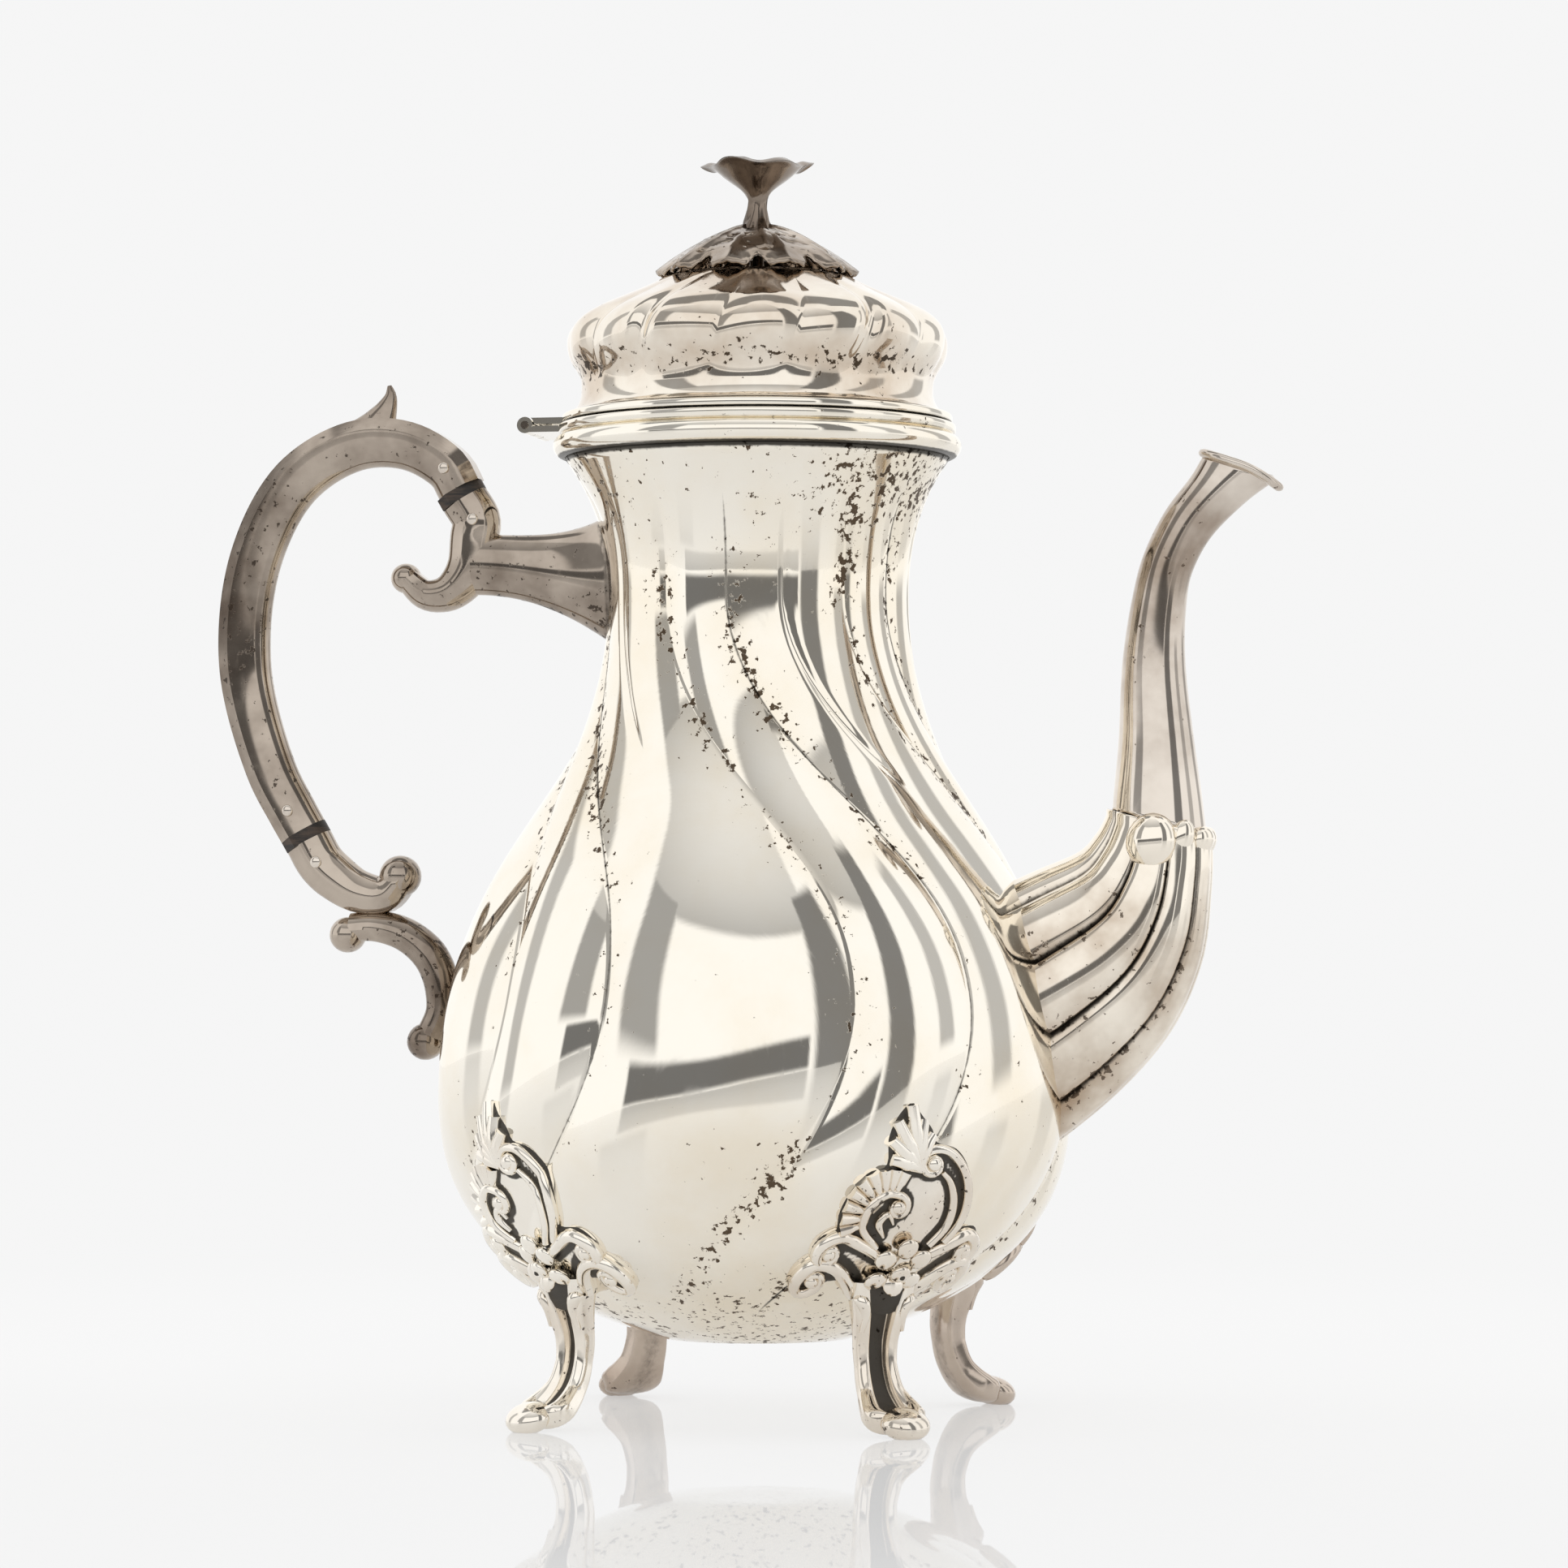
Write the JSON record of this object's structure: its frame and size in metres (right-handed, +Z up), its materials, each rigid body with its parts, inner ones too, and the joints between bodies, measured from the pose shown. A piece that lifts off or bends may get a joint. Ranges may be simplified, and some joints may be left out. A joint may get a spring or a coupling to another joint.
{
  "type": "coffee pot",
  "caption": "Footed silver coffee pot in a swirl-fluted pear shape, with a lobed spout, an insulated scroll handle and a hinged domed lid under a flower finial",
  "frame": {"origin": "on the table, in the middle of the footprint of the whole pot", "axes": "+Z up, +X towards the spout, -X towards the handle, Y across"},
  "size_m": [0.2258, 0.1315, 0.2606],
  "materials": {
    "polished_silver": "polished silver with brown tarnish in the creases",
    "cast_silver": "cast and chased silver, darker from handling",
    "insulator": "dark stained insulating discs"
  },
  "bodies": {
    "pot": {"body_vessel": "polished_silver", "mouth_rim": "polished_silver", "hinge_pot_leaf": "polished_silver", "hinge_pin": "polished_silver", "spout_sheath": "cast_silver", "spout_neck": "cast_silver", "spout_lip": "cast_silver", "foot_front_right": "cast_silver", "foot_front_left": "cast_silver", "foot_back_left": "cast_silver", "foot_back_right": "cast_silver", "upper_stem": "cast_silver", "upper_socket": "cast_silver", "lower_socket": "cast_silver", "lower_bracket": "cast_silver", "handle_grip": "cast_silver", "handle_pins": "cast_silver", "upper_insulator": "insulator", "lower_insulator": "insulator"},
    "lid": {"lid_dome": "polished_silver", "lid_flange": "polished_silver", "lid_bezel": "polished_silver", "finial_leaves": "cast_silver", "finial_flower": "cast_silver", "finial_washer": "polished_silver", "finial_nut": "polished_silver", "hinge_lid_leaf": "polished_silver"}
  },
  "joints": [
    {"name": "lid_hinge", "type": "hinge", "parent": "pot", "child": "lid", "pos_m": [-0.0447, 0, 0.20565], "axis": [0, -1, 0], "range_deg": [0, 95]}
  ]
}
